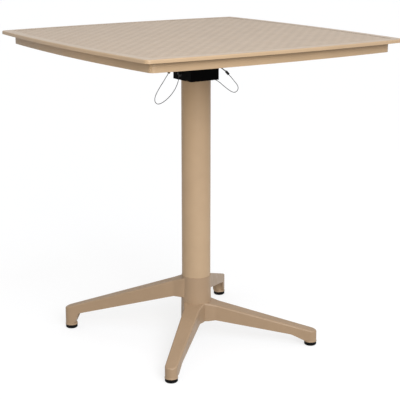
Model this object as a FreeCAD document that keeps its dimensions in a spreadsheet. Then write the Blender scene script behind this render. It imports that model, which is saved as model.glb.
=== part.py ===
"""Flip-top bistro table: moulded square top on a column with a cast base of two low and two high legs.

Millimetres, +Z up, origin on the floor under the column's axis. X and Y run along the sides of the top.
The top tips about a pin that runs along X, and then hangs upright on the +Y side of the column.
"""
import FreeCAD, Part
import math
import os
import Sketcher

V = FreeCAD.Vector

SIZES = {
    # Top
    "height": 740, "top_side": 700, "side_bow": 15, "corner_round": 12, "rim_thickness": 8, "rim_round": 3,
    "field_border": 21, "field_depth": 0.8,
    "skirt_inset": 23, "skirt_depth": 30, "skirt_wall": 4, "rib_wall": 3, "rib_depth": 10, "rib_pitch": 108,
    "seat_length": 160, "seat_width": 146, "seat_thickness": 6,
    # Tilt plate and its screws
    "plate_thickness": 4, "plate_length": 148, "plate_width": 134, "plate_round": 12, "screw_inset": 13,
    "screw_radius": 3, "screw_length": 10, "screw_head_radius": 5.5, "screw_head_height": 3.5,
    # Pivot and lock
    "pivot_offset": 8, "pivot_drop": 58, "pin_radius": 6, "pin_head_radius": 9, "pin_head_height": 2.5,
    "ring_thickness": 1.5, "tongue_radius": 38, "tongue_width": 44, "lock_radius": 30, "bolt_radius": 4,
    "bolt_reach": 3.6, "groove_depth": 4.2, "groove_gap": 0.3,
    # Clearances
    "running_gap": 0.06, "side_gap": 0.4, "swing_gap": 0.5, "stop_gap": 0.3, "tube_gap": 0.1, "rod_gap": 0.5,
    # Head of the column
    "head_length": 78, "head_width": 78, "head_drop": 103, "front_wall": 6, "head_round": 3,
    "spigot_length": 40,
    # Lock bolts, guides and springs
    "collar_radius": 6, "collar_length": 3, "collar_seat": 3, "bolt_rod_radius": 2.5, "guide_radius": 8,
    "guide_thickness": 2.4, "spring_radius": 5.4, "spring_bore": 3.2,
    # Release cables
    "cable_radius": 0.8, "anchor_radius": 3.4, "anchor_length": 5, "anchor_gap": 0.6,
    "ferrule_radius": 3, "ferrule_length": 10, "eye_half_width": 2.1,
    "lug_drop": 73.5, "lug_out": 23, "lug_depth": 8, "lug_radius": 3, "lug_hole": 1.7, "lug_thickness": 2,
    # Column
    "column_radius": 34.5, "column_wall": 2,
    # Hub of the base
    "hub_top": 160, "hub_bottom": 52, "hub_radius_top": 35.3, "hub_radius_bottom": 37, "hub_cavity": 29,
    "hub_web_bottom": 104, "hub_web_top": 116, "hub_bore": 27.4,
    # Tie rod
    "rod_radius": 5, "nut_flats": 17, "nut_height": 8, "washer_radius": 10, "washer_thickness": 2,
    "nut_pocket": 11, "rod_spare": 1,
    # Legs: heights at the hub's side and over the foot
    "leg_root": 36, "leg_root_width": 40, "leg_end_width": 29, "leg_flare": 7, "leg_flare_length": 16,
    "leg_flare_round": 30,
    "leg_wall": 4, "leg_roof": 5, "leg_edge_round": 4, "leg_fillet": 4, "boss_radius": 13,
    "foot_collar_radius": 15.4, "foot_collar_height": 4,
    "front_reach": 281.5, "front_root_top": 93.5, "front_end_top": 39.2, "front_root_bottom": 53.5,
    "front_sweep": 44.5, "front_sweep_height": 26.8, "front_sweep_end": 13, "front_sweep_round": 50,
    "rear_reach": 320, "rear_root_top": 151.5, "rear_end_top": 58.2, "rear_root_bottom": 111,
    "rear_sweep": 23, "rear_sweep_height": 42, "rear_sweep_end": 10, "rear_sweep_round": 8,
    # Levelling feet
    "pad_radius": 14.6, "pad_height": 9, "pad_round": 2, "stud_radius": 4, "stud_seat": 4, "stud_length": 24,
    "insert_radius": 6, "insert_length": 16,
}

doc = FreeCAD.newDocument("BistroTable")
sheet = doc.addObject("Spreadsheet::Sheet", "Sizes")
for row, (alias, value) in enumerate(SIZES.items(), 1):
    sheet.set(f"A{row}", alias)
    sheet.set(f"B{row}", str(value))
    sheet.setAlias(f"B{row}", alias)
doc.recompute()

NODES = []

# Heights and places that several pieces share, as expressions on the sheet.
TOP = "Sizes.height"
UNDERSIDE = "(Sizes.height - Sizes.rim_thickness)"
SEAT = f"({UNDERSIDE} - Sizes.seat_thickness)"
PLATE_BOTTOM = f"({SEAT} - Sizes.plate_thickness)"
PIVOT_Y = "Sizes.pivot_offset"
PIVOT_Z = "(Sizes.height - Sizes.pivot_drop)"
LOCK_Z = f"({PIVOT_Z} - Sizes.lock_radius)"
HEAD_BOTTOM = "(Sizes.height - Sizes.head_drop)"
HEAD_FLOOR = f"({PIVOT_Z} - Sizes.tongue_radius - Sizes.swing_gap)"
HEAD_SIDE = "(Sizes.head_length / 2)"
TONGUE_SIDE = "(Sizes.tongue_width / 2)"
WALL_INSIDE = "(Sizes.tongue_width / 2 + Sizes.side_gap)"
TUBE_BORE = "(Sizes.column_radius - Sizes.column_wall)"
SPIGOT = f"({TUBE_BORE} - Sizes.tube_gap)"
POCKET_START = f"({WALL_INSIDE} + Sizes.collar_seat)"
COLLAR_START = f"({POCKET_START} + Sizes.stop_gap)"
COLLAR_END = f"({COLLAR_START} + Sizes.collar_length)"
GUIDE_START = f"({HEAD_SIDE} - Sizes.guide_thickness)"
ANCHOR_START = f"({HEAD_SIDE} + Sizes.anchor_gap)"
ANCHOR_END = f"({ANCHOR_START} + Sizes.anchor_length)"
LUG_X = f"({HEAD_SIDE} + Sizes.lug_out)"
LUG_Z = f"({TOP} - Sizes.lug_drop)"
NUT_SEAT = f"({HEAD_FLOOR} - Sizes.nut_height - Sizes.washer_thickness - Sizes.rod_spare)"
FOOT_TOP = "(Sizes.pad_height + Sizes.stop_gap)"

# Turns a primitive's own axis from Z to X, with its flat side in the YZ plane.
ALONG_X = FreeCAD.Rotation(V(1, 1, 1), 120)


def size(alias):
    """The number that a cell of the sheet holds."""
    return float(sheet.get(alias))


def number(expression):
    """The value of an expression on the sheet."""
    return float(sheet.evalExpression(expression))


def place(obj, at, rotation=None):
    """Binds an object's place to expressions."""
    if rotation is not None:
        obj.Placement = FreeCAD.Placement(V(), rotation)
    for axis, expression in zip("xyz", at):
        obj.setExpression(f"Placement.Base.{axis}", expression)
    return obj


def primitive(kind, name, at=("0", "0", "0"), rotation=None, **sizes):
    """A Part primitive whose sizes and place are expressions."""
    obj = doc.addObject(f"Part::{kind}", name)
    for prop, expression in sizes.items():
        obj.setExpression(prop, expression)
    return place(obj, at, rotation)


def cylinder(name, radius, length, at, rotation=None):
    return primitive("Cylinder", name, at, rotation, Radius=radius, Height=length)


def block(name, low, lengths):
    """A box from its lowest corner."""
    return primitive("Box", name, low, Length=lengths[0], Width=lengths[1], Height=lengths[2])


def fuse(name, pieces):
    obj = doc.addObject("Part::MultiFuse", name)
    obj.Shapes = pieces
    obj.Refine = True
    return obj


def common(name, pieces):
    obj = doc.addObject("Part::MultiCommon", name)
    obj.Shapes = pieces
    return obj


def cut(name, piece, tools):
    """Takes one tool, or several fused tools, out of a piece."""
    tool = tools[0] if len(tools) == 1 else fuse(name + "Tools", tools)
    obj = doc.addObject("Part::Cut", name)
    obj.Base = piece
    obj.Tool = tool
    return obj


def rounded(name, piece, alias, chosen):
    """Rounds the edges of a piece that pass a test on their middle point and direction."""
    doc.recompute()
    obj = doc.addObject("Part::Fillet", name)
    obj.Base = piece
    edges = []
    for index, edge in enumerate(piece.Shape.Edges, 1):
        middle = edge.valueAt((edge.FirstParameter + edge.LastParameter) / 2)
        along = edge.tangentAt((edge.FirstParameter + edge.LastParameter) / 2)
        if chosen(middle, along):
            edges.append((index, size(alias), size(alias)))
    obj.Edges = edges
    return obj


def profile(body, name, role, points):
    """A closed outline of straight sides whose corners are pairs of expressions."""
    sketch = body.newObject("Sketcher::SketchObject", name)
    plane = next(f for f in body.Origin.OriginFeatures if f.Role == role)
    sketch.AttachmentSupport = [(plane, "")]
    sketch.MapMode = "FlatFace"
    corners = [V(number(x), number(y), 0) for x, y in points]
    count = len(corners)
    for i in range(count):
        sketch.addGeometry(Part.LineSegment(corners[i], corners[(i + 1) % count]))
    for i in range(count):
        sketch.addConstraint(Sketcher.Constraint("Coincident", i, 2, (i + 1) % count, 1))
    for i, pair in enumerate(points):
        for kind, expression, start in zip(("DistanceX", "DistanceY"), pair, (corners[i].x, corners[i].y)):
            index = sketch.addConstraint(Sketcher.Constraint(kind, -1, 1, i, 1, start))
            sketch.setExpression(f"Constraints[{index}]", expression)
    return sketch


def revolved(name, points):
    """A body turned about Z from an outline of radius and height."""
    body = doc.addObject("PartDesign::Body", name)
    sketch = profile(body, name + "Outline", "XZ_Plane", points)
    turn = body.newObject("PartDesign::Revolution", name + "Turn")
    turn.Profile = sketch
    turn.ReferenceAxis = (sketch, ["V_Axis"])
    turn.Angle = 360
    return body


def padded(name, role, points, length, both_ways=True):
    """A body pushed out of an outline, to both sides of its plane or along its normal."""
    body = doc.addObject("PartDesign::Body", name)
    sketch = profile(body, name + "Outline", role, points)
    pad = body.newObject("PartDesign::Pad", name + "Pad")
    pad.Profile = sketch
    pad.setExpression("Length", length)
    pad.Midplane = both_ways
    return body


def node(obj, label):
    """Keeps an object as a sub-part, under the name of its file."""
    obj.Label = label
    NODES.append(obj)
    return obj


def solid_node(label, shape):
    """Keeps a shape that has no feature of its own, such as a bent wire."""
    obj = doc.addObject("Part::Feature", label)
    obj.Shape = shape
    return node(obj, label)


def group_node(name, pieces, label):
    """Keeps several like pieces as one sub-part."""
    group = doc.addObject("Part::Compound", name)
    group.Links = pieces
    node(group, label)


# Table top


def bowed_slab(name, half_side, bottom, thickness):
    """A square slab with bowed sides: what four large discs have in common."""
    chord = f"({half_side} - Sizes.side_bow)"
    radius = f"(({chord} * {chord} + Sizes.side_bow * Sizes.side_bow) / (2 * Sizes.side_bow))"
    centre = f"({half_side} - {radius})"
    discs = []
    for side, at in {"East": (centre, "0"), "West": (f"-{centre}", "0"),
                     "North": ("0", centre), "South": ("0", f"-{centre}")}.items():
        discs.append(cylinder(name + side, radius, thickness, (at[0], at[1], bottom)))
    return common(name, discs)


def corner_edge(middle, along):
    return abs(along.z) > 0.9


def table_top():
    half = "(Sizes.top_side / 2)"
    skirt_half = f"({half} - Sizes.skirt_inset)"
    inner_half = f"({skirt_half} - Sizes.skirt_wall)"
    skirt_bottom = f"({TOP} - Sizes.skirt_depth)"
    skirt_height = "(Sizes.skirt_depth - Sizes.rim_thickness)"
    slab = rounded("SlabCorners", bowed_slab("Slab", half, UNDERSIDE, "Sizes.rim_thickness"),
                   "corner_round", corner_edge)
    top_level = number(TOP) - 0.01
    panel = rounded("Panel", slab, "rim_round", lambda middle, along: middle.z > top_level)
    outside = rounded("SkirtOutside", bowed_slab("SkirtBlock", skirt_half, skirt_bottom, skirt_height),
                      "corner_round", corner_edge)
    hollow = bowed_slab("SkirtHollow", inner_half, skirt_bottom, skirt_height)
    skirt = cut("Skirt", outside, [hollow])
    ribs = []
    reach = f"({inner_half} - Sizes.side_bow + Sizes.skirt_wall / 2)"
    rib_bottom = f"({UNDERSIDE} - Sizes.rib_depth)"
    for step in range(-2, 3):
        line = f"({step} * Sizes.rib_pitch - Sizes.rib_wall / 2)"
        ribs.append(block(f"RibX{step + 2}", (f"-{reach}", line, rib_bottom),
                          (f"2 * {reach}", "Sizes.rib_wall", "Sizes.rib_depth")))
        ribs.append(block(f"RibY{step + 2}", (line, f"-{reach}", rib_bottom),
                          ("Sizes.rib_wall", f"2 * {reach}", "Sizes.rib_depth")))
    seat_low = ("-Sizes.seat_length / 2", "-Sizes.seat_width / 2")
    room = block("SeatRoom", (*seat_low, rib_bottom),
                 ("Sizes.seat_length", "Sizes.seat_width", "Sizes.rib_depth"))
    grid = cut("RibGrid", fuse("Ribs", ribs), [room])
    seat = block("Seat", (*seat_low, SEAT), ("Sizes.seat_length", "Sizes.seat_width", "Sizes.seat_thickness"))
    body = fuse("TopBody", [panel, skirt, grid, seat])
    field = bowed_slab("Field", f"({half} - Sizes.field_border)", f"({TOP} - Sizes.field_depth)",
                       "Sizes.field_depth")
    holes = [cylinder(f"SeatHole{i}", "Sizes.screw_radius", "Sizes.screw_length", (x, y, SEAT))
             for i, (x, y) in enumerate(SCREW_PLACES)]
    node(cut("TableTop", body, [field, *holes]), "table_top")


# Tilt plate

SCREW_X = "(Sizes.plate_length / 2 - Sizes.screw_inset)"
SCREW_Y = "(Sizes.plate_width / 2 - Sizes.screw_inset)"
SCREW_PLACES = [(x, y) for x in (f"-{SCREW_X}", SCREW_X) for y in (f"-{SCREW_Y}", SCREW_Y)]


def lock_groove(name, side):
    """A quarter ring in a side of the tongue, with round ends, where the bolt's nose runs as the top tips."""
    start = f"({TONGUE_SIDE} - Sizes.groove_depth)" if side > 0 else f"-{TONGUE_SIDE}"
    half = "(Sizes.bolt_radius + Sizes.groove_gap)"
    at = (start, PIVOT_Y, PIVOT_Z)
    quarter = FreeCAD.Rotation(ALONG_X).multiply(FreeCAD.Rotation(V(0, 0, 1), -90))
    ring = cylinder(name + "Ring", f"Sizes.lock_radius + {half}", "Sizes.groove_depth", at, quarter)
    ring.Angle = 90
    core = cylinder(name + "Core", f"Sizes.lock_radius - {half}", "Sizes.groove_depth", at, ALONG_X)
    low_end = cylinder(name + "Low", half, "Sizes.groove_depth", (start, PIVOT_Y, LOCK_Z), ALONG_X)
    high_end = cylinder(name + "High", half, "Sizes.groove_depth",
                        (start, f"{PIVOT_Y} + Sizes.lock_radius", PIVOT_Z), ALONG_X)
    return [cut(name + "Quarter", ring, [core]), low_end, high_end]


def tilt_plate():
    plate = rounded("PlateCorners",
                    block("PlateBlock", ("-Sizes.plate_length / 2", "-Sizes.plate_width / 2", PLATE_BOTTOM),
                          ("Sizes.plate_length", "Sizes.plate_width", "Sizes.plate_thickness")),
                    "plate_round", corner_edge)
    disc = cylinder("TongueDisc", "Sizes.tongue_radius", "Sizes.tongue_width",
                    (f"-{TONGUE_SIDE}", PIVOT_Y, PIVOT_Z), ALONG_X)
    neck = block("TongueNeck", (f"-{TONGUE_SIDE}", f"{PIVOT_Y} - Sizes.tongue_radius", PIVOT_Z),
                 ("Sizes.tongue_width", "2 * Sizes.tongue_radius", f"{PLATE_BOTTOM} - {PIVOT_Z}"))
    body = fuse("TiltBody", [plate, disc, neck])
    bore = cylinder("TongueBore", "Sizes.pin_radius + Sizes.running_gap", "Sizes.tongue_width",
                    (f"-{TONGUE_SIDE}", PIVOT_Y, PIVOT_Z), ALONG_X)
    holes = [cylinder(f"PlateHole{i}", "Sizes.screw_radius", "Sizes.plate_thickness", (x, y, PLATE_BOTTOM))
             for i, (x, y) in enumerate(SCREW_PLACES)]
    grooves = lock_groove("GrooveLeft", -1) + lock_groove("GrooveRight", 1)
    node(cut("TiltPlate", body, [bore, *holes, *grooves]), "tilt_plate")


def plate_screws():
    screws = []
    head_bottom = f"({PLATE_BOTTOM} - Sizes.screw_head_height)"
    for i, (x, y) in enumerate(SCREW_PLACES):
        screw = revolved(f"Screw{i}", [
            ("0", head_bottom), ("Sizes.screw_head_radius * 0.7", head_bottom),
            ("Sizes.screw_head_radius", f"{PLATE_BOTTOM} - Sizes.screw_head_height * 0.4"),
            ("Sizes.screw_head_radius", PLATE_BOTTOM), ("Sizes.screw_radius", PLATE_BOTTOM),
            ("Sizes.screw_radius", f"{SEAT} + Sizes.screw_length"), ("0", f"{SEAT} + Sizes.screw_length")])
        screws.append(place(screw, (x, y, "0")))
    group_node("PlateScrews", screws, "plate_screws")


# Head of the column

SIDES = {"left": -1, "right": 1}
ALONG_Y = FreeCAD.Rotation(V(1, 0, 0), -90)


def along_side(side, start, length):
    """The lower X of a piece that runs from start to start + length away from the middle."""
    return start if side > 0 else f"-({start}) - ({length})"


def side_cylinder(name, side, radius, start, end):
    """A round piece on the axis of a lock bolt."""
    length = f"({end} - ({start}))"
    return cylinder(name, radius, length, (along_side(side, start, length), PIVOT_Y, LOCK_Z), ALONG_X)


def lug_bar(name, side, end):
    """The flat bar of a cable lug, from its seat in the wall to a given X."""
    start = f"({HEAD_SIDE} - Sizes.lug_depth)"
    length = f"({end} - {start})"
    corner = (along_side(side, start, length), f"{PIVOT_Y} - Sizes.lug_thickness / 2",
              f"{LUG_Z} - Sizes.lug_radius")
    return block(name, corner, (length, "Sizes.lug_thickness", "2 * Sizes.lug_radius"))


def column_head():
    wall_top = f"({PLATE_BOTTOM} - Sizes.stop_gap)"
    low = (f"-{HEAD_SIDE}", "-Sizes.head_width / 2", HEAD_BOTTOM)
    outside = rounded("HeadCorners",
                      block("HeadBlock", low, ("Sizes.head_length", "Sizes.head_width",
                                               f"{wall_top} - {HEAD_BOTTOM}")),
                      "head_round", corner_edge)
    spigot = cylinder("HeadSpigot", SPIGOT, "Sizes.spigot_length",
                      ("0", "0", f"{HEAD_BOTTOM} - Sizes.spigot_length"))
    body = fuse("HeadBody", [outside, spigot])
    gap = block("HeadGap", (f"-{WALL_INSIDE}", "-Sizes.head_width / 2 + Sizes.front_wall", HEAD_FLOOR),
                (f"2 * {WALL_INSIDE}", "Sizes.head_width", f"{wall_top} - {HEAD_FLOOR}"))
    # Over the pivot's back half the walls follow a circle, so that the plate can pass them.
    back = block("HeadBack", (f"-{HEAD_SIDE}", PIVOT_Y, PIVOT_Z),
                 ("Sizes.head_length", "Sizes.head_width", f"{wall_top} - {PIVOT_Z}"))
    round_back = cylinder("HeadRoundBack", f"{wall_top} - {PIVOT_Z}", "Sizes.head_length",
                          (f"-{HEAD_SIDE}", PIVOT_Y, PIVOT_Z), ALONG_X)
    pin_hole = cylinder("HeadPinHole", "Sizes.pin_radius", "Sizes.head_length",
                        (f"-{HEAD_SIDE}", PIVOT_Y, PIVOT_Z), ALONG_X)
    bolt_hole = cylinder("HeadBoltHole", "Sizes.bolt_radius + Sizes.running_gap", "Sizes.head_length",
                         (f"-{HEAD_SIDE}", PIVOT_Y, LOCK_Z), ALONG_X)
    pocket = cylinder("NutPocket", "Sizes.nut_pocket", f"{HEAD_FLOOR} - {NUT_SEAT}", ("0", "0", NUT_SEAT))
    rod_hole = cylinder("HeadRodHole", "Sizes.rod_radius + Sizes.rod_gap", "2 * Sizes.spigot_length",
                        ("0", "0", f"{HEAD_BOTTOM} - Sizes.spigot_length"))
    pockets = []
    for word, side in SIDES.items():
        title = word.capitalize()
        pockets.append(side_cylinder(f"BoltPocket{title}", side, "Sizes.collar_radius + Sizes.running_gap",
                                     POCKET_START, GUIDE_START))
        pockets.append(side_cylinder(f"GuideSeat{title}", side, "Sizes.guide_radius", GUIDE_START, HEAD_SIDE))
        pockets.append(lug_bar(f"LugSlot{title}", side, HEAD_SIDE))
    tools = [gap, cut("HeadBackCorner", back, [round_back]), pin_hole, bolt_hole, pocket, rod_hole, *pockets]
    node(cut("ColumnHead", body, tools), "column_head")


def pivot_pin():
    outside = f"({HEAD_SIDE} + Sizes.ring_thickness)"
    shank = cylinder("PinShank", "Sizes.pin_radius", f"{HEAD_SIDE} + {outside} + Sizes.ring_thickness",
                     (f"-{HEAD_SIDE}", PIVOT_Y, PIVOT_Z), ALONG_X)
    cap = cylinder("PinHead", "Sizes.pin_head_radius", "Sizes.pin_head_height",
                   (f"-{HEAD_SIDE} - Sizes.pin_head_height", PIVOT_Y, PIVOT_Z), ALONG_X)
    node(fuse("PivotPin", [shank, cap]), "pivot_pin")
    ring = cylinder("RingDisc", "Sizes.pin_head_radius", "Sizes.ring_thickness",
                    (HEAD_SIDE, PIVOT_Y, PIVOT_Z), ALONG_X)
    hole = cylinder("RingHole", "Sizes.pin_radius", "Sizes.ring_thickness",
                    (HEAD_SIDE, PIVOT_Y, PIVOT_Z), ALONG_X)
    node(cut("PinRing", ring, [hole]), "pin_ring")


# Lock bolts, one in each wall of the head


def lock_bolt(word, side):
    title = word.capitalize()
    nose_tip = f"({TONGUE_SIDE} - Sizes.bolt_reach)"
    nose = side_cylinder(f"Nose{title}", side, "Sizes.bolt_radius", nose_tip, COLLAR_END)
    collar = side_cylinder(f"Collar{title}", side, "Sizes.collar_radius", COLLAR_START, COLLAR_END)
    rod = side_cylinder(f"Rod{title}", side, "Sizes.bolt_rod_radius", COLLAR_END, ANCHOR_END)
    node(fuse(f"LockBolt{title}", [nose, collar, rod]), f"lock_bolt_{word}")

    knob = side_cylinder(f"AnchorKnob{title}", side, "Sizes.anchor_radius", ANCHOR_START, ANCHOR_END)
    knob_bore = side_cylinder(f"AnchorBore{title}", side, "Sizes.bolt_rod_radius", ANCHOR_START, ANCHOR_END)
    node(cut(f"CableAnchor{title}", knob, [knob_bore]), f"cable_anchor_{word}")

    plug = side_cylinder(f"GuidePlug{title}", side, "Sizes.guide_radius", GUIDE_START, HEAD_SIDE)
    plug_bore = side_cylinder(f"GuideBore{title}", side, "Sizes.bolt_rod_radius + Sizes.running_gap",
                              GUIDE_START, HEAD_SIDE)
    node(cut(f"BoltGuide{title}", plug, [plug_bore]), f"bolt_guide_{word}")

    coil = side_cylinder(f"SpringOutside{title}", side, "Sizes.spring_radius", COLLAR_END, GUIDE_START)
    coil_bore = side_cylinder(f"SpringBore{title}", side, "Sizes.spring_bore", COLLAR_END, GUIDE_START)
    node(cut(f"BoltSpring{title}", coil, [coil_bore]), f"bolt_spring_{word}")


# Release cables

# Routes from just under the anchor to the ferrule, as the loops hang beside the head.
ROUTES = {
    "left": [(-42.1, 8, 648.2), (-42.3, 8, 637), (-51, 8.5, 617.5), (-66.5, 9, 600), (-84, 9.5, 588.5),
             (-99.5, 9.5, 584.2), (-108.2, 9, 592.5), (-106.2, 9, 605.5), (-94.5, 8.5, 623.5), (-81, 8, 640.5),
             (-70.4, 8, 655)],
    "right": [(42.1, 8, 648.2), (42.5, 8, 638), (52, 7.5, 632.5), (67, 7, 626.5), (83, 7, 613.5),
              (97, 6.5, 602.8), (109.5, 6.5, 595.4), (118.7, 7, 594.2), (126, 7, 599.6), (126.9, 7.5, 608.7),
              (115.2, 8, 622), (105.5, 8, 632.4), (98.4, 8, 639.5)],
}
ARC_SHARE = 0.45


def cable_path(points):
    """Straight runs joined by arcs as large as the runs allow, with the radii of the arcs."""
    edges = []
    radii = []
    start = points[0]
    for before, corner, after in zip(points, points[1:], points[2:]):
        back = before - corner
        ahead = after - corner
        turn = math.pi - back.getAngle(ahead)
        trim = ARC_SHARE * min(back.Length, ahead.Length)
        radius = trim / math.tan(turn / 2)
        back.normalize()
        ahead.normalize()
        inward = back + ahead
        inward.normalize()
        enter = corner + back * trim
        leave = corner + ahead * trim
        middle = corner + inward * (radius / math.cos(turn / 2) - radius)
        edges.append(Part.LineSegment(start, enter).toShape())
        edges.append(Part.Arc(enter, middle, leave).toShape())
        radii.append(radius)
        start = leave
    edges.append(Part.LineSegment(start, points[-1]).toShape())
    return Part.Wire(edges), radii


def wire_tube(path, radius):
    """A round wire swept along a path."""
    first = path.Edges[0]
    ring = Part.Wire(Part.Circle(first.valueAt(first.FirstParameter), first.tangentAt(first.FirstParameter),
                                 radius).toShape())
    tube = path.makePipeShell([ring], True, False)
    return Part.Solid(tube) if tube.ShapeType == "Shell" else tube


def release_cable(word, side):
    title = word.capitalize()
    points = [V(*p) for p in ROUTES[word]]
    path, radii = cable_path(points)
    tube = wire_tube(path, size("cable_radius"))
    section = math.pi * size("cable_radius") ** 2
    share = tube.Volume / section / path.Length
    print(word, "cable length", round(path.Length, 1), "volume share", round(share, 4))
    print(word, "cable radii", [round(r, 1) for r in radii])
    solid_node(f"release_cable_{word}", tube)

    end = points[-1]
    along = end - points[-2]
    along.normalize()
    ferrule = Part.makeCylinder(size("ferrule_radius"), size("ferrule_length"), end, along)
    solid_node(f"cable_ferrule_{word}", ferrule)

    # The eye is the cable's end doubled back into the ferrule through the lug's hole.
    foot = end + along * (size("ferrule_length") + size("stop_gap"))
    hook = V(side * number(LUG_X), number(PIVOT_Y), number(LUG_Z))
    across = V(0, size("eye_half_width"), 0)
    run = hook - foot
    run.normalize()
    bow = hook - run * size("eye_half_width")
    eye = Part.Wire([Part.LineSegment(foot + across, bow + across).toShape(),
                     Part.Arc(bow + across, hook, bow - across).toShape(),
                     Part.LineSegment(bow - across, foot - across).toShape()])
    solid_node(f"cable_eye_{word}", wire_tube(eye, size("cable_radius")))

    lug_x = LUG_X if side > 0 else f"-{LUG_X}"
    lug_at = (lug_x, f"{PIVOT_Y} - Sizes.lug_thickness / 2", LUG_Z)
    tip = cylinder(f"LugTip{title}", "Sizes.lug_radius", "Sizes.lug_thickness", lug_at, ALONG_Y)
    hole = cylinder(f"LugHole{title}", "Sizes.lug_hole", "Sizes.lug_thickness", lug_at, ALONG_Y)
    bar = lug_bar(f"LugBar{title}", side, LUG_X)
    node(cut(f"CableLug{title}", fuse(f"LugBody{title}", [bar, tip]), [hole]), f"cable_lug_{word}")


# Column and tie rod


def column():
    length = f"{HEAD_BOTTOM} - Sizes.hub_top"
    foot = ("0", "0", "Sizes.hub_top")
    outside = cylinder("TubeOutside", "Sizes.column_radius", length, foot)
    inside = cylinder("TubeInside", TUBE_BORE, length, foot)
    node(cut("ColumnTube", outside, [inside]), "column_tube")


def tie_rod():
    low_nut_top = "(Sizes.hub_web_bottom - Sizes.washer_thickness)"
    rod_bottom = f"({low_nut_top} - Sizes.nut_height - Sizes.rod_spare)"
    rod_top = f"({NUT_SEAT} + Sizes.washer_thickness + Sizes.nut_height + Sizes.rod_spare / 2)"
    rod = cylinder("TieRod", "Sizes.rod_radius", f"{rod_top} - {rod_bottom}", ("0", "0", rod_bottom))
    node(rod, "tie_rod")
    washers = []
    nuts = []
    for word, washer_z, nut_z in (("Top", NUT_SEAT, f"{NUT_SEAT} + Sizes.washer_thickness"),
                                  ("Low", low_nut_top, f"{low_nut_top} - Sizes.nut_height")):
        seat = ("0", "0", washer_z)
        disc = cylinder(f"Washer{word}Disc", "Sizes.washer_radius", "Sizes.washer_thickness", seat)
        hole = cylinder(f"Washer{word}Hole", "Sizes.rod_radius", "Sizes.washer_thickness", seat)
        washers.append(cut(f"Washer{word}", disc, [hole]))
        hexagon = primitive("Prism", f"Nut{word}Hexagon", ("0", "0", nut_z),
                            Circumradius="Sizes.nut_flats / sqrt(3)", Height="Sizes.nut_height")
        hexagon.Polygon = 6
        thread = cylinder(f"Nut{word}Thread", "Sizes.rod_radius", "Sizes.nut_height", ("0", "0", nut_z))
        nuts.append(cut(f"Nut{word}", hexagon, [thread]))
    group_node("TieWashers", washers, "tie_washers")
    group_node("TieNuts", nuts, "tie_nuts")


# Base: hub and legs

LEGS = {"front_left": ("front", -135), "front_right": ("front", -45), "rear_right": ("rear", 45),
        "rear_left": ("rear", 135)}


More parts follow.
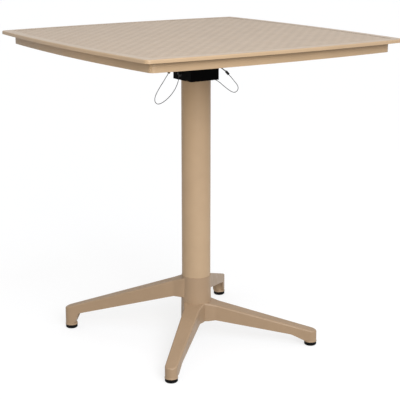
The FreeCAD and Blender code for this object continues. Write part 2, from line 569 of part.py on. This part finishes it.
def leg(word, kind, bearing):
    """One hollow leg along X from the axis, open underneath, turned to its bearing."""
    title = word.title().replace("_", "")
    reach = f"Sizes.{kind}_reach"
    half_end = "(Sizes.leg_end_width / 2)"
    root = "Sizes.leg_root"
    flare_end = f"({root} + Sizes.leg_flare_length)"
    span = f"({reach} - {root})"
    slope = f"((Sizes.{kind}_end_top - Sizes.{kind}_root_top) / {span})"
    sweep_start = f"({reach} - Sizes.{kind}_sweep)"
    fall = f"((Sizes.{kind}_sweep_height - Sizes.{kind}_root_bottom) / ({sweep_start} - {root}))"
    tip = f"({reach} + {half_end})"
    wall_foot = f"({FOOT_TOP} + Sizes.foot_collar_height)"
    prism = f"(2 * Sizes.{kind}_root_top)"

    def top_at(u):
        return f"(Sizes.{kind}_root_top + {slope} * ({u} - {root}))"

    def bottom_at(u):
        return f"(Sizes.{kind}_root_bottom + {fall} * ({u} - {root}))"

    side = padded(f"Side{title}", "XZ_Plane", [
        ("0", top_at("0")), (tip, top_at(tip)), (tip, wall_foot),
        (f"{reach} - Sizes.{kind}_sweep_end", wall_foot), (sweep_start, f"Sizes.{kind}_sweep_height"),
        (flare_end, bottom_at(flare_end)), (root, f"{bottom_at(root)} - Sizes.leg_fillet"),
        ("0", f"{bottom_at(root)} - Sizes.leg_fillet")], "4 * Sizes.leg_root_width")
    half_root = "(Sizes.leg_root_width / 2)"
    root_half = f"({half_root} + Sizes.leg_flare)"
    # The sides run on into the round end without a corner.
    lean = f"(({half_root} - {half_end}) / ({reach} - {flare_end}))"
    upright = f"sqrt(1 - {lean} * {lean})"
    root_x, root_y = f"({flare_end} + {half_root} * {lean})", f"({half_root} * {upright})"
    end_x, end_y = f"({reach} + {half_end} * {lean})", f"({half_end} * {upright})"
    plan = padded(f"Plan{title}", "XY_Plane", [
        ("0", f"-{root_half}"), (f"{root} * 0.75", f"-{root_half}"), (root_x, f"-{root_y}"),
        (end_x, f"-{end_y}"), (end_x, end_y), (root_x, root_y), (f"{root} * 0.75", root_half),
        ("0", root_half)],
        prism, False)
    end = cylinder(f"End{title}", half_end, prism, (reach, "0", "0"))

    def flare_corner(middle, along):
        return abs(along.z) > 0.9 and 1 < middle.x < number(root_x) + 1

    def sweep_corner(middle, along):
        return abs(along.y) > 0.9 and abs(middle.x - number(sweep_start)) < 0.1

    def top_edge(middle, along):
        return middle.x > 1 and abs(middle.z - number(top_at(str(middle.x)))) < 0.05

    flared = rounded(f"Flared{title}", fuse(f"PlanEnd{title}", [plan, end]), "leg_flare_round", flare_corner)
    swept = rounded(f"Swept{title}", side, f"{kind}_sweep_round", sweep_corner)
    outside = common(f"Outside{title}", [swept, flared])
    shell = rounded(f"Shell{title}", outside, "leg_edge_round", top_edge)

    inner_start = f"({root} + Sizes.leg_wall)"
    inner_end = f"({reach} - Sizes.boss_radius)"
    roof = "Sizes.leg_roof"
    hollow_side = padded(f"HollowSide{title}", "XZ_Plane", [
        (inner_start, "0"), (inner_end, "0"), (inner_end, f"{top_at(inner_end)} - {roof}"),
        (inner_start, f"{top_at(inner_start)} - {roof}")], "4 * Sizes.leg_root_width")
    hollow_plan = padded(f"HollowPlan{title}", "XY_Plane", [
        (inner_start, f"-({half_root} - Sizes.leg_wall)"), (inner_end, f"-({half_end} - Sizes.leg_wall)"),
        (inner_end, f"{half_end} - Sizes.leg_wall"), (inner_start, f"{half_root} - Sizes.leg_wall")],
        prism, False)
    hollow = common(f"Hollow{title}", [hollow_side, hollow_plan])
    boss = cylinder(f"Boss{title}", "Sizes.boss_radius", f"Sizes.{kind}_end_top - {roof} - {FOOT_TOP}",
                    (reach, "0", FOOT_TOP))
    collar = primitive("Cone", f"Collar{title}", (reach, "0", FOOT_TOP), Radius1="Sizes.foot_collar_radius",
                       Radius2=half_end, Height="Sizes.foot_collar_height")
    body = fuse(f"LegBody{title}", [cut(f"LegShell{title}", shell, [hollow]), boss, collar])
    insert_hole = cylinder(f"InsertHole{title}", "Sizes.insert_radius", "Sizes.insert_length",
                           (reach, "0", FOOT_TOP))
    stud_hole = cylinder(f"StudHole{title}", "Sizes.stud_radius + Sizes.rod_gap",
                         "Sizes.stud_length + Sizes.rod_gap - Sizes.stop_gap", (reach, "0", FOOT_TOP))
    done = cut(f"Leg{title}", body, [insert_hole, stud_hole])
    done.Placement = FreeCAD.Placement(V(), FreeCAD.Rotation(V(0, 0, 1), bearing))
    return done


def base():
    hub = revolved("Hub", [
        ("0", "Sizes.hub_bottom"), ("Sizes.hub_radius_bottom", "Sizes.hub_bottom"),
        ("Sizes.hub_radius_top", "Sizes.hub_top"), (SPIGOT, "Sizes.hub_top"),
        (SPIGOT, "Sizes.hub_top + Sizes.spigot_length"), ("0", "Sizes.hub_top + Sizes.spigot_length")])
    legs = [leg(word, kind, bearing) for word, (kind, bearing) in LEGS.items()]
    cavity = cylinder("HubCavity", "Sizes.hub_cavity", "Sizes.hub_web_bottom", ("0", "0", "0"))
    bore = cylinder("HubBore", "Sizes.hub_bore", "Sizes.hub_top + Sizes.spigot_length - Sizes.hub_web_top",
                    ("0", "0", "Sizes.hub_web_top"))
    rod_hole = cylinder("HubRodHole", "Sizes.rod_radius + Sizes.rod_gap", "Sizes.hub_top", ("0", "0", "0"))
    node(cut("BaseCasting", fuse("BaseBody", [hub, *legs]), [cavity, bore, rod_hole]), "base_casting")


# Levelling feet


def feet():
    inserts = []
    for word, (kind, bearing) in LEGS.items():
        title = word.title().replace("_", "")
        turn = math.radians(bearing)
        at = (f"Sizes.{kind}_reach * {math.cos(turn)}", f"Sizes.{kind}_reach * {math.sin(turn)}")
        seat = (*at, FOOT_TOP)
        sleeve = cylinder(f"Sleeve{title}", "Sizes.insert_radius", "Sizes.insert_length", seat)
        thread_radius = "Sizes.stud_radius + Sizes.running_gap"
        thread = cylinder(f"Thread{title}", thread_radius, "Sizes.insert_length", seat)
        inserts.append(cut(f"Insert{title}", sleeve, [thread]))
        pad = revolved(f"Pad{title}", [
            ("0", "0"), ("Sizes.pad_radius - Sizes.pad_round", "0"), ("Sizes.pad_radius", "Sizes.pad_round"),
            ("Sizes.pad_radius", "Sizes.pad_height - Sizes.pad_round / 2"),
            ("Sizes.pad_radius - Sizes.pad_round / 2", "Sizes.pad_height"),
            ("Sizes.stud_radius", "Sizes.pad_height"), ("Sizes.stud_radius", "Sizes.stud_seat"),
            ("0", "Sizes.stud_seat")])
        node(place(pad, (*at, "0")), f"foot_pad_{word}")
        stud = cylinder(f"Stud{title}", "Sizes.stud_radius", "Sizes.stud_length", (*at, "Sizes.stud_seat"))
        node(stud, f"foot_stud_{word}")
    group_node("FootInserts", inserts, "foot_inserts")


def check_and_write():
    """Stops on any failed feature or solid, then writes each sub-part to its own file."""
    doc.recompute()
    failed = [o.Label for o in doc.Objects if "Invalid" in o.State or "Error" in o.State]
    if failed:
        raise RuntimeError(f"failed features: {failed}")
    for obj in NODES:
        if obj.Shape.isNull() or not obj.Shape.isValid() or not obj.Shape.Solids:
            raise RuntimeError(f"bad solid: {obj.Label}")
    os.makedirs("parts", exist_ok=True)
    for obj in NODES:
        obj.Shape.exportStep(f"parts/{obj.Label}.step")


table_top()
tilt_plate()
plate_screws()
column_head()
pivot_pin()
for side_word, side_sign in SIDES.items():
    lock_bolt(side_word, side_sign)
    release_cable(side_word, side_sign)
column()
tie_rod()
base()
feet()
check_and_write()
for sub_part in NODES:
    print(sub_part.Label, len(sub_part.Shape.Solids), round(sub_part.Shape.Volume))
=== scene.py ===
"""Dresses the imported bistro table: weave on the top, powder coat, black castings, steel cables, studio."""
import math

import bpy
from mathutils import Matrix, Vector


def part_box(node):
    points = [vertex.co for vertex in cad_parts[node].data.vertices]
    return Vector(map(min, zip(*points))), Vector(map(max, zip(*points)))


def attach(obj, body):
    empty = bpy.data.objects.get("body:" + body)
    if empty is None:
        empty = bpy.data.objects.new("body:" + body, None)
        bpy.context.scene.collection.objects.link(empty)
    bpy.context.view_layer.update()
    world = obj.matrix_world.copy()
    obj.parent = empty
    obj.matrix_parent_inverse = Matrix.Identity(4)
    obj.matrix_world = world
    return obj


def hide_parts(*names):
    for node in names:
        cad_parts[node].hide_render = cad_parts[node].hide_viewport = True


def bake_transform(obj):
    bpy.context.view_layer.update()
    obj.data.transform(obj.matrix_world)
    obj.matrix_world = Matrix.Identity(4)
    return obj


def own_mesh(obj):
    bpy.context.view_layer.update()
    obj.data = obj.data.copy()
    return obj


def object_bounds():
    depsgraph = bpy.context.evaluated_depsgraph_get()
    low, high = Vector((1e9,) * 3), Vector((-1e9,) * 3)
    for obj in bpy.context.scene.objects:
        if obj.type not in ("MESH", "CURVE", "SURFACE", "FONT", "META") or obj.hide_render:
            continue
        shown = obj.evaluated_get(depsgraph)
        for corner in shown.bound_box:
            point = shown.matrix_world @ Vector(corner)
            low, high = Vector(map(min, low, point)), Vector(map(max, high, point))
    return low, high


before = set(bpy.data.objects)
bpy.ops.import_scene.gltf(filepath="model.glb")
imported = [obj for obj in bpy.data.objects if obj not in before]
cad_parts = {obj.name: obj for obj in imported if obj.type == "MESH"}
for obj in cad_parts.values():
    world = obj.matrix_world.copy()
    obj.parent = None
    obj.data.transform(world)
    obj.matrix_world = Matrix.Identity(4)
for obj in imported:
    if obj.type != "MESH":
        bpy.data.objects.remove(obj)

CAD_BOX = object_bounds()
MM = 0.001
WHITE = (1, 1, 1)

# The photograph's view.
CAMERA_PLACE = Vector((-1420.5, -2133.2, 1007.4)) * MM
CAMERA_AZIMUTH = -33.87
CAMERA_PITCH = 14.47
CAMERA_LENS = 99.56
SENSOR_WIDTH = 36.0

# Floor, in metres and shares.
FLOOR_SIZE = 60
FLOOR_SHADE = 0.3
FLOOR_ROUGHNESS = 0.9
FLOOR_SPECULAR = 0.1
FLOOR_GLOW = 0.7

# Strength of the surroundings above and below the horizon; they blend within HORIZON of it.
SKY_LIGHT = 0.76
GROUND_LIGHT = 0.28
GROUND_TINT = (1, 0.88, 0.7)
HORIZON = 0.3

# Lights: places and sizes in metres, angles in degrees. An azimuth is that of a camera in the same direction.
KEY_AZIMUTH = CAMERA_AZIMUTH + 34
KEY_ELEVATION = 42
KEY_SOFTNESS = 50
KEY_STRENGTH = 1.0
KEY_COLOUR = (0.92, 0.98, 1.12)
FRONT_AZIMUTH = CAMERA_AZIMUTH + 12
FRONT_DISTANCE = 2.2
FRONT_HEIGHT = 1.29
FRONT_AIM = (0, 0, 0.5)
FRONT_SIZE = 1.1
FRONT_ENERGY = 33
SIDE_PLACE = (-1.35, -0.3, 0.6)
SIDE_AIM = (-0.35, -0.1, 0.72)
SIDE_SIZE = 0.3
SIDE_ENERGY = 0.09
SIDE_COLOUR = (1, 0.86, 0.62)
SIDE_SPREAD = 40

# Noise of the finishes, in features per metre, and the height of their grain in millimetres.
# Most of a noise lies between NOISE_LOW and NOISE_HIGH.
COLOUR_NOISE = 18
GLOSS_NOISE = 60
FINE_DETAIL = 3.0
PLAIN_DETAIL = 2.0
NOISE_LOW = 0.3
NOISE_HIGH = 0.7
GRAIN_HEIGHT = 0.2

# Upward share of a face's direction where the painted sheen starts and where it is full.
PAINTED_SHEEN_START = 0.6
PAINTED_SHEEN_FULL = 0.95

# Painted shade in inner corners: openness of a corner that is fully darkened, and of a face that is left
# unshaded.
CORNER_DARK = 0.35
CORNER_UNSHADED = 0.95
CORNER_SAMPLES = 8

# The textured field of the top, in millimetres. Its recess is in the CAD model.
TOP_HALF = CAD_BOX[1].x / MM
TOP_HEIGHT = CAD_BOX[1].z / MM
SIDE_BOW = 15.0
FIELD_BORDER = 21.0
FIELD_DEPTH = 0.8
FIELD_GAP = 0.3
FIELD_LIFT = 0.05
FIELD_STEPS = 312
WEAVE_CELL = 15.0
WEAVE_STRANDS = 2
WEAVE_DEPTH = 0.7
STRAND_DIP = 0.6
DIP_SHARPNESS = 4

# Routes of the release cables, from the bolt's anchor to the ferrule, as in the CAD model.
CABLE_DIAMETER = 1.6
CABLES = {
    "left": [(-42.1, 8, 648.2), (-42.3, 8, 637), (-51, 8.5, 617.5), (-66.5, 9, 600), (-84, 9.5, 588.5),
             (-99.5, 9.5, 584.2), (-108.2, 9, 592.5), (-106.2, 9, 605.5), (-94.5, 8.5, 623.5),
             (-81, 8, 640.5), (-70.4, 8, 655)],
    "right": [(42.1, 8, 648.2), (42.5, 8, 638), (52, 7.5, 632.5), (67, 7, 626.5), (83, 7, 613.5),
              (97, 6.5, 602.8), (109.5, 6.5, 595.4), (118.7, 7, 594.2), (126, 7, 599.6),
              (126.9, 7.5, 608.7), (115.2, 8, 622), (105.5, 8, 632.4), (98.4, 8, 639.5)],
}

# Coil springs of the lock bolts. The first and the last turn lie close.
SPRING_WIRE = 1.2
SPRING_TURNS = 5
SPRING_CLOSED_TURNS = 2
SPRING_STEPS = 12

# Faces round a wire, and steps along it for each control point.
WIRE_SIDES = 10
CURVE_STEPS = 8

# The sides of the head, with the sign of X there.
SIDES = {"left": -1, "right": 1}


# Nodes of materials

def grey(level):
    """A colour without a hue."""
    return (level, level, level)


def shader_of(material):
    """The shader node of a material."""
    return next(node for node in material.node_tree.nodes if node.type == "BSDF_PRINCIPLED")


def new_material(name):
    """A material with nothing in its tree but the shader and the output."""
    material = bpy.data.materials.new(name)
    material.use_nodes = True
    return material


def map_range(nodes, low, high, to_low=0.0, to_high=1.0):
    """A node that turns low to high into to_low to to_high."""
    node = nodes.new("ShaderNodeMapRange")
    node.inputs["From Min"].default_value = low
    node.inputs["From Max"].default_value = high
    node.inputs["To Min"].default_value = to_low
    node.inputs["To Max"].default_value = to_high
    return node


def mix_colours(nodes, first, second):
    """A node that goes from one colour to another by its factor."""
    node = nodes.new("ShaderNodeMix")
    node.data_type = "RGBA"
    node.inputs["A"].default_value = (*first, 1)
    node.inputs["B"].default_value = (*second, 1)
    return node


def noise(material, scale, detail, stretch=(1, 1, 1)):
    """Noise in the part's own frame; scale is in features per metre."""
    nodes = material.node_tree.nodes
    links = material.node_tree.links
    place = nodes.new("ShaderNodeTexCoord")
    mapping = nodes.new("ShaderNodeMapping")
    mapping.inputs["Scale"].default_value = stretch
    texture = nodes.new("ShaderNodeTexNoise")
    texture.inputs["Scale"].default_value = scale
    texture.inputs["Detail"].default_value = detail
    links.new(place.outputs["Object"], mapping.inputs["Vector"])
    links.new(mapping.outputs["Vector"], texture.inputs["Vector"])
    return texture.outputs["Fac"]


def vary_colour(material, factor, dark, light):
    """Base colour between two shades, by a noise."""
    links = material.node_tree.links
    ramp = material.node_tree.nodes.new("ShaderNodeValToRGB")
    start, end = ramp.color_ramp.elements
    start.position = NOISE_LOW
    start.color = (*dark, 1)
    end.position = NOISE_HIGH
    end.color = (*light, 1)
    links.new(factor, ramp.inputs["Fac"])
    links.new(ramp.outputs["Color"], shader_of(material).inputs["Base Color"])


def vary_roughness(material, factor, low, high):
    """Roughness between two values, by a noise."""
    links = material.node_tree.links
    spread = map_range(material.node_tree.nodes, NOISE_LOW, NOISE_HIGH, low, high)
    links.new(factor, spread.inputs["Value"])
    links.new(spread.outputs["Result"], shader_of(material).inputs["Roughness"])


def add_bump(material, height, strength):
    """Fine grain on the surface, from a noise."""
    links = material.node_tree.links
    bump = material.node_tree.nodes.new("ShaderNodeBump")
    bump.inputs["Strength"].default_value = strength
    bump.inputs["Distance"].default_value = GRAIN_HEIGHT * MM
    links.new(height, bump.inputs["Height"])
    links.new(bump.outputs["Normal"], shader_of(material).inputs["Normal"])


def tint_colour(material, tint):
    """Multiplies a material's colour by a colour from another node of its tree."""
    links = material.node_tree.links
    base = shader_of(material).inputs["Base Color"]
    product = material.node_tree.nodes.new("ShaderNodeMix")
    product.data_type = "RGBA"
    product.blend_type = "MULTIPLY"
    product.inputs["Factor"].default_value = 1.0
    links.new(base.links[0].from_socket, product.inputs["A"])
    links.new(tint, product.inputs["B"])
    links.new(product.outputs["Result"], base)


# Finishes

def coated(name, dark, light, rough, grain, relief, metallic=0.0, specular=0.5, stretch=(1, 1, 1), sheen=0.0):
    """A finish with slow colour change, uneven gloss and fine grain; grain is in features per metre."""
    material = new_material(name)
    shader = shader_of(material)
    shader.inputs["Metallic"].default_value = metallic
    shader.inputs["Specular IOR Level"].default_value = specular
    shader.inputs["Sheen Weight"].default_value = sheen
    vary_colour(material, noise(material, COLOUR_NOISE, FINE_DETAIL), dark, light)
    vary_roughness(material, noise(material, GLOSS_NOISE, PLAIN_DETAIL), *rough)
    add_bump(material, noise(material, grain, FINE_DETAIL, stretch), relief)
    return material


def paint_cell_shade(material, cell, shade):
    """Makes every second square cell of a weave a little darker, in the part's own frame: painted shade that
    strengthens the difference in light between strands running one way and the other.
    """
    nodes = material.node_tree.nodes
    place = nodes.new("ShaderNodeTexCoord")
    checker = nodes.new("ShaderNodeTexChecker")
    checker.inputs["Scale"].default_value = 1 / (cell * MM)
    checker.inputs["Color1"].default_value = (*grey(shade), 1)
    checker.inputs["Color2"].default_value = (*WHITE, 1)
    material.node_tree.links.new(place.outputs["Object"], checker.inputs["Vector"])
    tint_colour(material, checker.outputs["Color"])


def paint_sheen_above(material, tint):
    """Tints the faces that look up on the standing part greyer than its sides, a painted sheen of the white
    light from above.
    """
    nodes = material.node_tree.nodes
    links = material.node_tree.links
    place = nodes.new("ShaderNodeTexCoord")
    split = nodes.new("ShaderNodeSeparateXYZ")
    upward = map_range(nodes, PAINTED_SHEEN_START, PAINTED_SHEEN_FULL)
    sheen_tint = mix_colours(nodes, WHITE, tint)
    links.new(place.outputs["Normal"], split.inputs["Vector"])
    links.new(split.outputs["Z"], upward.inputs["Value"])
    links.new(upward.outputs["Result"], sheen_tint.inputs["Factor"])
    tint_colour(material, sheen_tint.outputs["Result"])


def paint_corner_shade(material, reach, shade):
    """Paints shade into the inner corners of a piece, darkening them; reach is in millimetres."""
    nodes = material.node_tree.nodes
    links = material.node_tree.links
    corners = nodes.new("ShaderNodeAmbientOcclusion")
    corners.samples = CORNER_SAMPLES
    corners.inputs["Distance"].default_value = reach * MM
    openness = map_range(nodes, CORNER_DARK, CORNER_UNSHADED)
    corner_shade = mix_colours(nodes, grey(shade), WHITE)
    links.new(corners.outputs["AO"], openness.inputs["Value"])
    links.new(openness.outputs["Result"], corner_shade.inputs["Factor"])
    tint_colour(material, corner_shade.outputs["Result"])


def moulded_finish():
    """The plastic of the top's border, skirt and ribs."""
    material = coated("moulded_sand", (0.42, 0.292, 0.172), (0.45, 0.314, 0.187), rough=(0.4, 0.5),
                      grain=900, relief=0.18, sheen=0.16)
    # Painted sheen: the faces that look up are tinted greyer.
    paint_sheen_above(material, tint=(0.94, 0.99, 1.1))
    # Painted shade: the inner corners, as under the rim, are darkened.
    paint_corner_shade(material, reach=9, shade=0.45)
    return material


def weave_finish():
    """The plastic of the woven field, greyer than the moulded sides: a painted sheen of the white light from
    above, as on the border's upward faces.
    """
    material = coated("moulded_weave", (0.39, 0.28, 0.18), (0.42, 0.303, 0.195), rough=(0.42, 0.52),
                      grain=900, relief=0.15, sheen=0.16)
    # Painted shade: every second cell of the weave is darker.
    paint_cell_shade(material, WEAVE_CELL, shade=0.9)
    return material


MATERIALS = {
    "moulded": moulded_finish(),
    "weave": weave_finish(),
    "powder": coated("powder_sand", (0.438, 0.309, 0.192), (0.468, 0.331, 0.207), rough=(0.42, 0.52),
                     grain=1400, relief=0.16, specular=0.3),
    "cast": coated("powder_sand_cast", (0.326, 0.221, 0.133), (0.353, 0.24, 0.146), rough=(0.42, 0.54),
                   grain=1200, relief=0.2),
    "black_cast": coated("black_cast", grey(0.0012), grey(0.0025), rough=(0.5, 0.62), grain=1500, relief=0.3,
                         specular=0.02),
    "black_plastic": coated("black_plastic", grey(0.004), grey(0.008), rough=(0.4, 0.55), grain=2500,
                            relief=0.15, specular=0.15),
    "rubber": coated("pad_black", grey(0.002), grey(0.004), rough=(0.5, 0.65), grain=2000, relief=0.25,
                     specular=0.08),
    "zinc": coated("zinc_steel", (0.42, 0.42, 0.43), grey(0.5), rough=(0.28, 0.4), grain=800, relief=0.1,
                   metallic=1.0, stretch=(1, 1, 6)),
    "dark_steel": coated("dark_steel", (0.012, 0.012, 0.013), grey(0.03), rough=(0.35, 0.5), grain=1200,
                         relief=0.15, metallic=1.0),
    "cable": coated("cable_steel", (0.035, 0.035, 0.036), grey(0.07), rough=(0.3, 0.42), grain=2600,
                    relief=0.6, metallic=1.0, stretch=(1, 1, 0.4)),
}

NODE_FINISH = {
    "table_top": "moulded",
    "column_tube": "powder",
    "base_casting": "cast",
    "column_head": "black_cast",
    "tilt_plate": "black_cast",
    "bolt_guide": "black_plastic",
    "cable_anchor": "black_plastic",
    "cable_ferrule": "black_plastic",
    "foot_pad": "rubber",
    "cable_eye": "cable",
    "release_cable": "cable",
    "pivot_pin": "dark_steel",
    "pin_ring": "dark_steel",
    "lock_bolt": "dark_steel",
    "cable_lug": "dark_steel",
}


def finish_nodes():
    """Gives each CAD node its finish, by the start of its name; what isn't named is zinc-plated steel."""
    for name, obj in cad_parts.items():
        finish = next((word for start, word in NODE_FINISH.items() if name.startswith(start)), "zinc")
        obj.data.materials.clear()
        obj.data.materials.append(MATERIALS[finish])


def link_object(name, data):
    """A new object in the scene."""
    obj = bpy.data.objects.new(name, data)
    bpy.context.collection.objects.link(obj)
    return obj


# The weave that is moulded into the top

def weave_height(x, y):
    """Share of the full height: pairs of crowned strands along X and Y in turn, as in basket work."""
    column = math.floor(x / WEAVE_CELL)
    row = math.floor(y / WEAVE_CELL)
    share_x = x / WEAVE_CELL - column
    share_y = y / WEAVE_CELL - row
    along, across = (share_x, share_y) if (column + row) % 2 == 0 else (share_y, share_x)
    crown = 0.5 - 0.5 * math.cos(2 * math.pi * WEAVE_STRANDS * across)
    dip = (2 * along - 1) ** DIP_SHARPNESS
    return crown * (1 - STRAND_DIP * dip)


def edge_at(half, other):
    """How far a bowed side of the field stands from the middle, at a place along it."""
    chord = half - SIDE_BOW
    radius = (chord ** 2 + SIDE_BOW ** 2) / (2 * SIDE_BOW)
    return half - (radius - math.sqrt(radius ** 2 - other ** 2))


def weave_field():
    """A closed slab in the top's recess, with the weave as its upper face, which ends low all round."""
    half = TOP_HALF - FIELD_BORDER - FIELD_GAP
    underside = TOP_HEIGHT - FIELD_DEPTH + FIELD_LIFT
    count = FIELD_STEPS + 1
    shares = [2 * i / FIELD_STEPS - 1 for i in range(count)]
    vertices = []
    for v in shares:
        for u in shares:
            x = u * edge_at(half, v * (half - SIDE_BOW * u * u))
            y = v * edge_at(half, u * (half - SIDE_BOW * v * v))
            share = 0.0 if max(abs(u), abs(v)) == 1 else weave_height(x, y)
            vertices.append((x * MM, y * MM, (TOP_HEIGHT - WEAVE_DEPTH * (1 - share)) * MM))
    faces = []
    for j in range(FIELD_STEPS):
        for i in range(FIELD_STEPS):
            a = j * count + i
            faces.append((a, a + 1, a + count + 1, a + count))
    rim = list(range(count))
    rim += [j * count + FIELD_STEPS for j in range(1, count)]
    rim += [FIELD_STEPS * count + i for i in range(FIELD_STEPS - 1, -1, -1)]
    rim += [j * count for j in range(FIELD_STEPS - 1, 0, -1)]
    lower = len(vertices)
    vertices += [(vertices[k][0], vertices[k][1], underside * MM) for k in rim]
    for k in range(len(rim)):
        following = (k + 1) % len(rim)
        faces.append((rim[following], rim[k], lower + k, lower + following))
    faces.append(tuple(lower + k for k in range(len(rim) - 1, -1, -1)))
    mesh = bpy.data.meshes.new("top_weave")
    mesh.from_pydata(vertices, [], faces)
    mesh.materials.append(MATERIALS["weave"])
    mesh.shade_smooth()
    obj = link_object("top_weave", mesh)
    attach(obj, "top")


# Wires

def smooth_line(name, points):
    """A curve object whose smooth spline has these control points."""
    curve = bpy.data.curves.new(name, "CURVE")
    curve.dimensions = "3D"
    spline = curve.splines.new("NURBS")
    spline.points.add(len(points) - 1)
    for control, point in zip(spline.points, points):
        control.co = (*point, 1)
    spline.order_u = 3
    spline.use_endpoint_u = True
    spline.resolution_u = CURVE_STEPS
    return link_object(name, curve)


def line_points(line):
    """The points along a curve object that has no thickness yet."""
    mesh = bpy.data.meshes.new_from_object(line)
    points = [vertex.co.copy() for vertex in mesh.vertices]
    bpy.data.meshes.remove(mesh)
    return points


def wire_mesh(line, diameter, material):
    """The mesh of a round wire along a curve object, which is used up."""
    line.data.bevel_depth = diameter / 2
    # Blender gives a wire four faces and two more for each step of this number.
    line.data.bevel_resolution = (WIRE_SIDES - 4) // 2
    line.data.use_fill_caps = True
    depsgraph = bpy.context.evaluated_depsgraph_get()
    mesh = bpy.data.meshes.new_from_object(line.evaluated_get(depsgraph))
    mesh.materials.clear()
    mesh.materials.append(material)
    mesh.shade_smooth()
    bpy.data.objects.remove(line)
    return mesh


def release_cable(word):
    """One steel cable along its route."""
    points = [Vector(p) * MM for p in CABLES[word]]
    line = smooth_line(f"cable_line_{word}", points)
    path = line_points(line)
    mesh = wire_mesh(line, CABLE_DIAMETER * MM, MATERIALS["cable"])
    obj = link_object(f"cable_{word}", mesh)
    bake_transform(obj)
    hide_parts(f"release_cable_{word}")


def bolt_spring(word):
    """A coil spring round a lock bolt, which the bolt's collar presses against the guide."""
    low, high = (Vector(corner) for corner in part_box(f"bolt_spring_{word}"))
    middle = (low + high) / 2
    wire = SPRING_WIRE * MM
    radius = (high.z - low.z) / 2 - wire / 2
    length = high.x - low.x
    open_turns = SPRING_TURNS - SPRING_CLOSED_TURNS
    pitch = (length - (SPRING_CLOSED_TURNS + 1) * wire) / open_turns
    points = []
    for i in range(SPRING_TURNS * SPRING_STEPS + 1):
        turn = i / SPRING_STEPS
        closed = min(turn, 1) + max(turn - SPRING_TURNS + 1, 0)
        opened = min(max(turn - 1, 0), open_turns)
        x = low.x + wire / 2 + closed * wire + opened * pitch
        angle = 2 * math.pi * turn
        points.append(Vector((x, middle.y + radius * math.cos(angle), middle.z + radius * math.sin(angle))))
    line = smooth_line(f"spring_line_{word}", points)
    obj = link_object(f"bolt_coil_{word}", wire_mesh(line, wire, MATERIALS["zinc"]))
    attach(obj, "base")
    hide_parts(f"bolt_spring_{word}")
    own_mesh(obj)


# Studio

def pale_floor():
    """A pale floor that matt surfaces don't see, so that it throws little light on the part."""
    bpy.ops.mesh.primitive_plane_add(size=FLOOR_SIZE, location=(0, 0, 0))
    floor = bpy.context.object
    floor.name = "floor"
    material = new_material("floor_white")
    shader = shader_of(material)
    shader.inputs["Base Color"].default_value = (*grey(FLOOR_SHADE), 1)
    shader.inputs["Roughness"].default_value = FLOOR_ROUGHNESS
    shader.inputs["Specular IOR Level"].default_value = FLOOR_SPECULAR
    shader.inputs["Emission Color"].default_value = (*WHITE, 1)
    shader.inputs["Emission Strength"].default_value = FLOOR_GLOW
    floor.data.materials.append(material)
    floor.visible_diffuse = False


def surroundings():
    """White light from above that is dimmer and warmer from below. The camera sees plain white."""
    world = bpy.data.worlds.new("studio")
    bpy.context.scene.world = world
    world.use_nodes = True
    nodes = world.node_tree.nodes
    links = world.node_tree.links
    direction = nodes.new("ShaderNodeTexCoord")
    height = nodes.new("ShaderNodeSeparateXYZ")
    level = map_range(nodes, -HORIZON, HORIZON, GROUND_LIGHT, SKY_LIGHT)
    share = map_range(nodes, -HORIZON, HORIZON)
    tint = mix_colours(nodes, GROUND_TINT, WHITE)
    light = nodes["Background"]
    backdrop = nodes.new("ShaderNodeBackground")
    backdrop.inputs["Color"].default_value = (*WHITE, 1)
    rays = nodes.new("ShaderNodeLightPath")
    either = nodes.new("ShaderNodeMixShader")
    links.new(direction.outputs["Generated"], height.inputs["Vector"])
    links.new(height.outputs["Z"], level.inputs["Value"])
    links.new(height.outputs["Z"], share.inputs["Value"])
    links.new(share.outputs["Result"], tint.inputs["Factor"])
    links.new(tint.outputs["Result"], light.inputs["Color"])
    links.new(level.outputs["Result"], light.inputs["Strength"])
    links.new(rays.outputs["Is Camera Ray"], either.inputs["Fac"])
    links.new(light.outputs["Background"], either.inputs[1])
    links.new(backdrop.outputs["Background"], either.inputs[2])
    links.new(either.outputs["Shader"], nodes["World Output"].inputs["Surface"])


def key_light():
    """Broad, slightly cool light from above, to the right of the camera."""
    light = bpy.data.lights.new("key", "SUN")
    light.angle = math.radians(KEY_SOFTNESS)
    light.energy = KEY_STRENGTH
    light.color = KEY_COLOUR
    obj = link_object("key", light)
    obj.rotation_euler = (math.radians(90 - KEY_ELEVATION), 0, math.radians(KEY_AZIMUTH))


def disk_lamp(name, place, aim, size, energy, colour=WHITE, spread=180):
    """A round soft lamp that is turned towards a point."""
    light = bpy.data.lights.new(name, "AREA")
    light.shape = "DISK"
    light.size = size
    light.energy = energy
    light.color = colour
    light.spread = math.radians(spread)
    obj = link_object(name, light)
    obj.location = place
    obj.rotation_euler = (Vector(aim) - obj.location).to_track_quat("-Z", "Y").to_euler()


def lamps():
    """A soft lamp a little to the right of the camera, and a weak warm one for the left edge of the top."""
    azimuth = math.radians(FRONT_AZIMUTH)
    front_place = (math.sin(azimuth) * FRONT_DISTANCE, -math.cos(azimuth) * FRONT_DISTANCE, FRONT_HEIGHT)
    disk_lamp("front", front_place, FRONT_AIM, FRONT_SIZE, FRONT_ENERGY)
    disk_lamp("side", SIDE_PLACE, SIDE_AIM, SIDE_SIZE, SIDE_ENERGY, SIDE_COLOUR, SIDE_SPREAD)


def camera():
    """The photograph's camera."""
    data = bpy.data.cameras.new("photo_camera")
    data.sensor_width = SENSOR_WIDTH
    data.lens = CAMERA_LENS
    obj = link_object("photo_camera", data)
    obj.location = CAMERA_PLACE
    obj.rotation_euler = (math.radians(90 - CAMERA_PITCH), 0, math.radians(CAMERA_AZIMUTH))
    bpy.context.scene.camera = obj


finish_nodes()
weave_field()
for side_word, side_sign in SIDES.items():
    release_cable(side_word)
    bolt_spring(side_word)
pale_floor()
surroundings()
key_light()
lamps()
camera()
bpy.context.scene.view_settings.view_transform = "Standard"
